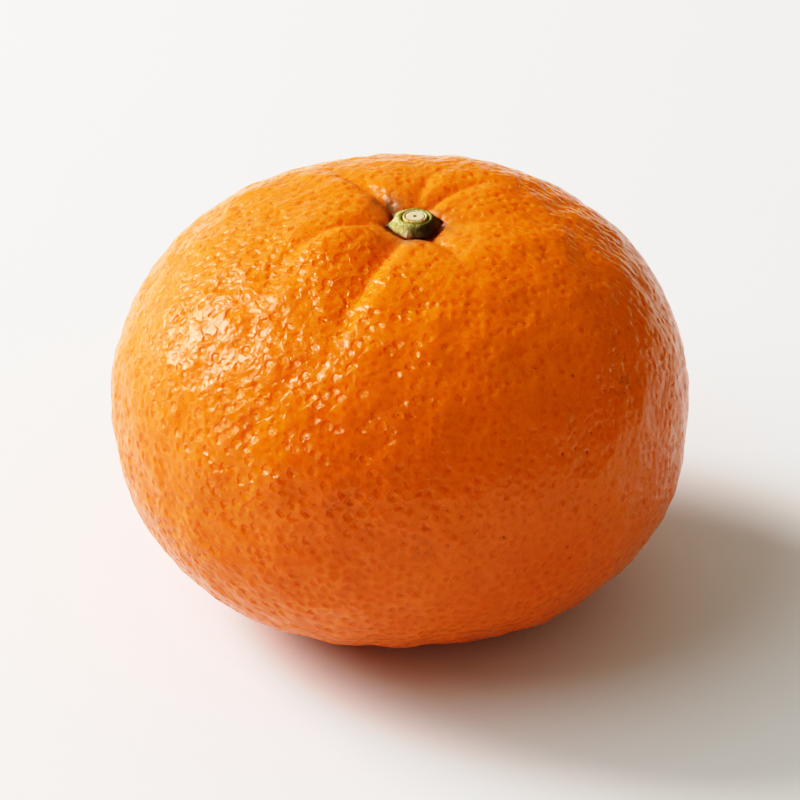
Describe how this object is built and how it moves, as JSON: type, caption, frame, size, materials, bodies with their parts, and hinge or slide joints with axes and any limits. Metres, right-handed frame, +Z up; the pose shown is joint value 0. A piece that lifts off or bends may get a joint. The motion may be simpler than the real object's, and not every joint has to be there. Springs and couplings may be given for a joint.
{
  "type": "mandarin",
  "caption": "Whole fresh mandarin: squat round fruit with a furrowed crown, a green calyx button and a cut stem, resting on a small flat spot.",
  "frame": {"origin": "middle of the flat spot that the fruit rests on, under the widest part of the fruit", "axes": "+Z up through the stem end; -Y is the front, from which the deepest furrow runs down from the stem, a little to the left; +X to the right"},
  "size_m": [0.0703, 0.0697, 0.0524],
  "materials": {
    "rind": "waxy orange rind, semi-gloss, dimpled by oil glands",
    "calyx": "dull olive green with corky streaks and dark tips",
    "stem_cut": "dry cut end, matt and pale"
  },
  "bodies": {
    "root": {"fruit": "rind", "calyx": "calyx", "stem_stub": "stem_cut"}
  },
  "joints": []
}
